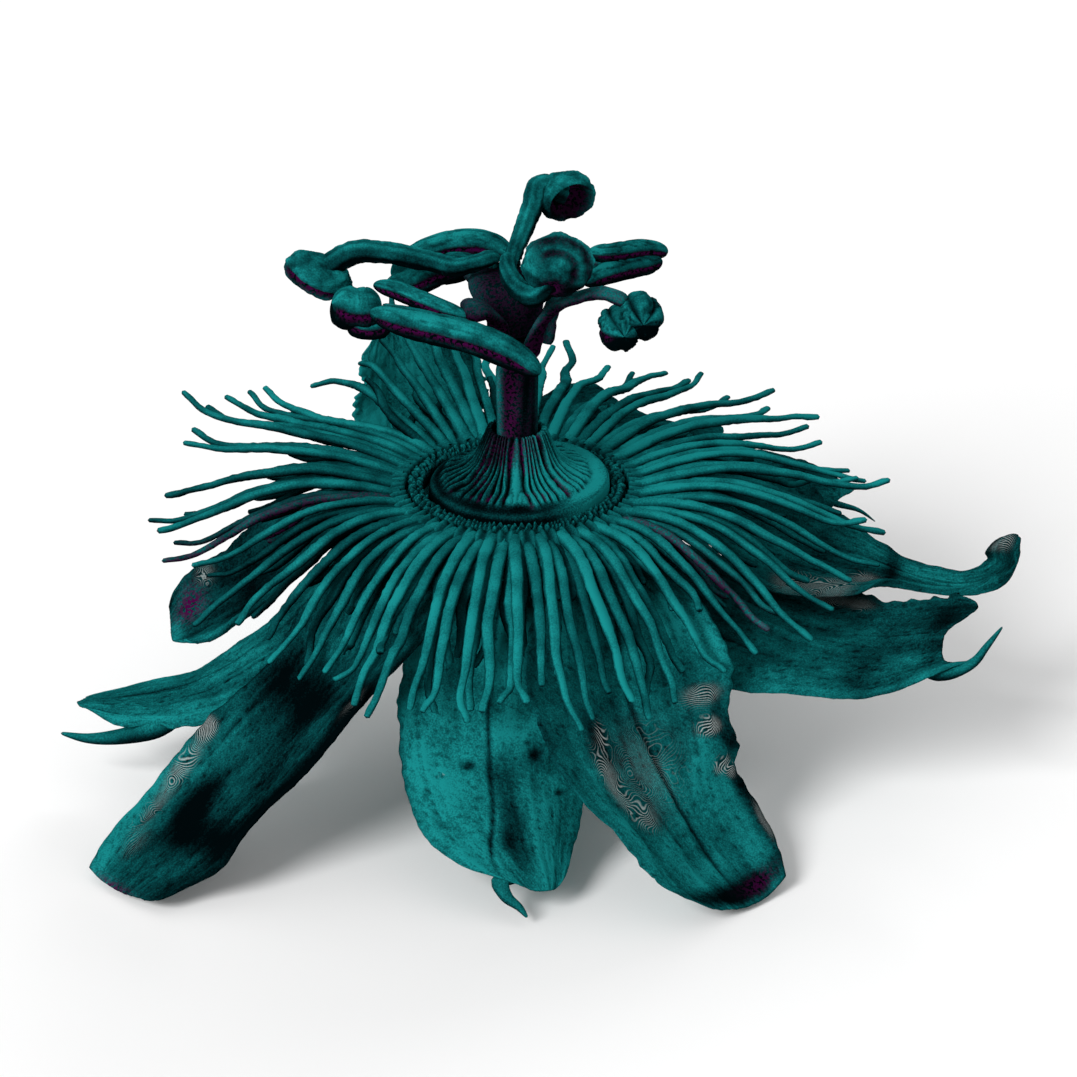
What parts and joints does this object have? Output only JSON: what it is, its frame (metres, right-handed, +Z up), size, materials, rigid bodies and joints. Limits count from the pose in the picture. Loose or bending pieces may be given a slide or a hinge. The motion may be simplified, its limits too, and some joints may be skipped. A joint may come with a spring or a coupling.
{
  "type": "passion flower",
  "caption": "Open passion flower with drooping petals, a corona of long filaments, and stamens and styles on a central column; it stands on its petal tips.",
  "frame": {"origin": "middle of the flower's footprint, on the surface that its petal tips stand on", "axes": "+Z up along the flower's column; -Y towards the front sepal, the side the picture shows; +X to the flower's right as seen from the front"},
  "size_m": [0.0658, 0.0532, 0.0404],
  "materials": {
    "cup": "matt, finely granular",
    "sepal": "matt, finely granular, thin",
    "petal": "matt, finely granular, thin",
    "filament": "satin",
    "operculum": "satin, with dark pleats",
    "column": "satin, near black with a purple cast",
    "ovary": "satin, near black with a purple cast",
    "style": "satin, with purple furrows",
    "stamen": "matt, with purple slits"
  },
  "bodies": {
    "root": {"floral_cup": "cup", "sepal_front": "sepal", "sepal_right": "sepal", "sepal_back_right": "sepal", "sepal_back_left": "sepal", "sepal_left": "sepal", "petal_front_right": "petal", "petal_right": "petal", "petal_back": "petal", "petal_left": "petal", "petal_front_left": "petal", "corona": "filament", "corona_fringe": "filament", "operculum": "operculum", "column": "column", "ovary": "ovary", "style_left": "style", "style_back": "style", "style_front_right": "style", "stamen_front_left": "stamen", "stamen_right": "stamen", "stamen_back_right": "stamen", "stamen_back_left": "stamen", "stamen_left": "stamen"}
  },
  "joints": []
}
